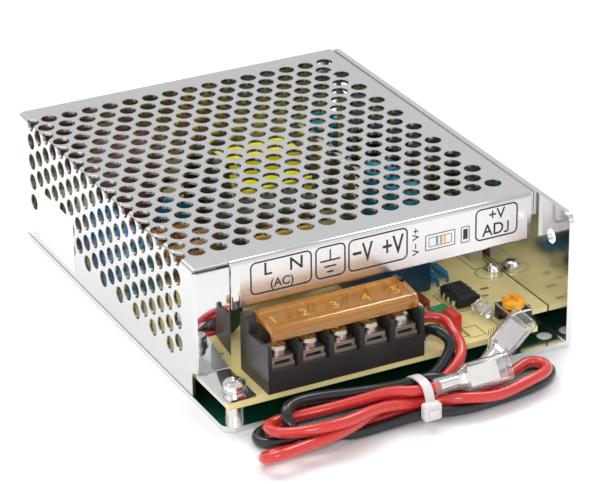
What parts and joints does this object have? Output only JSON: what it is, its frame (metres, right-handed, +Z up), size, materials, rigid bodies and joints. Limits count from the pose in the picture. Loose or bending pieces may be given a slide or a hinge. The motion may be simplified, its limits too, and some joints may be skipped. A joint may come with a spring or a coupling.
{
  "type": "switching power supply",
  "caption": "Enclosed switching power supply: a folded perforated cover over a base plate, a screw terminal strip with a flip cover, and two tied battery leads.",
  "frame": {"origin": "middle of the overall box of the case, without the leads, on the surface that the base plate stands on", "axes": "+X across the case to the side wall, +Y from the terminal end to the back, +Z up"},
  "size_m": [0.0999, 0.153, 0.0373],
  "materials": {
    "chassis_metal": "satin",
    "cover_metal": "satin",
    "board_laminate": "satin",
    "spacer_metal": "satin",
    "screw_steel": "bright",
    "spring_steel": "satin",
    "label_film": "glossy",
    "sticker_paper": "matte",
    "block_plastic": "satin",
    "terminal_metal": "satin",
    "flap_plastic": "glossy, clear amber",
    "relay_case": "satin",
    "chip_case": "matte",
    "pin_metal": "bright",
    "led_lens": "clear",
    "trimmer_case": "satin",
    "knob_plastic": "satin",
    "resistor_coat": "glossy",
    "diode_glass": "glossy",
    "green_case": "glossy",
    "red_case": "glossy",
    "white_case": "satin",
    "grey_case": "satin",
    "blue_case": "glossy",
    "fuse_glass": "clear",
    "thermistor_coat": "matte",
    "brown_sleeve": "glossy",
    "teal_sleeve": "glossy",
    "ferrite": "matte",
    "amber_tape": "glossy",
    "yellow_tape": "glossy",
    "copper_wire": "glossy",
    "sink_metal": "satin",
    "red_insulation": "glossy",
    "black_insulation": "glossy",
    "tie_nylon": "satin",
    "sleeve_vinyl": "clear",
    "terminal_screw_metal": "bright"
  },
  "bodies": {
    "case": {"base_chassis": "chassis_metal", "perforated_cover": "cover_metal", "circuit_board": "board_laminate", "board_spacers": "spacer_metal", "board_screws": "screw_steel", "cover_side_screws": "screw_steel", "tab_screw": "screw_steel", "tab_washer": "screw_steel", "tab_spring_washer": "spring_steel", "front_label": "label_film", "side_sticker": "sticker_paper", "terminal_block": "block_plastic", "terminal_tongues": "terminal_metal", "terminal_clamps": "terminal_metal", "output_relay": "relay_case", "control_chip": "chip_case", "control_chip_pins": "pin_metal", "indicator_led": "led_lens", "trimmer_body": "trimmer_case", "small_resistors": "resistor_coat", "small_diode": "diode_glass", "green_capacitor": "green_case", "red_capacitor": "red_case", "white_socket": "white_case", "side_capacitor": "grey_case", "blue_line_capacitor": "blue_case", "grey_line_capacitor": "grey_case", "isolator": "white_case", "fuse_tube": "fuse_glass", "fuse_caps": "pin_metal", "thermistor": "thermistor_coat", "varistor": "blue_case", "bulk_capacitor": "brown_sleeve", "output_capacitors": "teal_sleeve", "input_choke_core": "ferrite", "input_choke_winding": "amber_tape", "transformer_core": "ferrite", "transformer_winding": "yellow_tape", "transformer_bobbin": "chip_case", "input_ring_choke": "copper_wire", "output_ring_choke": "copper_wire", "bridge_rectifier": "chip_case", "inner_heat_sink": "sink_metal", "outer_heat_sink": "sink_metal", "power_transistors": "chip_case", "lead_holder": "white_case", "red_lead": "red_insulation", "black_lead": "black_insulation", "lead_tie": "tie_nylon", "lead_sleeves": "sleeve_vinyl", "spade_terminals": "terminal_metal"},
    "flip_cover": {"terminal_flap": "flap_plastic"},
    "adjuster_knob": {"trimmer_knob": "knob_plastic"},
    "terminal_screw_body_1": {"terminal_screw_1": "terminal_screw_metal"},
    "terminal_screw_body_2": {"terminal_screw_2": "terminal_screw_metal"},
    "terminal_screw_body_3": {"terminal_screw_3": "terminal_screw_metal"},
    "terminal_screw_body_4": {"terminal_screw_4": "terminal_screw_metal"},
    "terminal_screw_body_5": {"terminal_screw_5": "terminal_screw_metal"}
  },
  "joints": [
    {"name": "flip_cover_hinge", "type": "hinge", "parent": "case", "child": "flip_cover", "pos_m": [-0.01625, -0.0514, 0.0227], "axis": [-1, 0, 0], "range_deg": [0, 90]},
    {"name": "adjuster_turn", "type": "hinge", "parent": "case", "child": "adjuster_knob", "pos_m": [0.03475, -0.058, 0.012], "axis": [0, 0, 1], "range_deg": [-135, 135]},
    {"name": "terminal_screw_turn_1", "type": "hinge", "parent": "case", "child": "terminal_screw_body_1", "pos_m": [-0.0332, -0.0594, 0.018], "axis": [0, 0, 1], "range_deg": [0, 360]},
    {"name": "terminal_screw_turn_2", "type": "hinge", "parent": "case", "child": "terminal_screw_body_2", "pos_m": [-0.0247, -0.0594, 0.018], "axis": [0, 0, 1], "range_deg": [0, 360]},
    {"name": "terminal_screw_turn_3", "type": "hinge", "parent": "case", "child": "terminal_screw_body_3", "pos_m": [-0.0162, -0.0594, 0.018], "axis": [0, 0, 1], "range_deg": [0, 360]},
    {"name": "terminal_screw_turn_4", "type": "hinge", "parent": "case", "child": "terminal_screw_body_4", "pos_m": [-0.0077, -0.0594, 0.018], "axis": [0, 0, 1], "range_deg": [0, 360]},
    {"name": "terminal_screw_turn_5", "type": "hinge", "parent": "case", "child": "terminal_screw_body_5", "pos_m": [0.0008, -0.0594, 0.018], "axis": [0, 0, 1], "range_deg": [0, 360]}
  ]
}
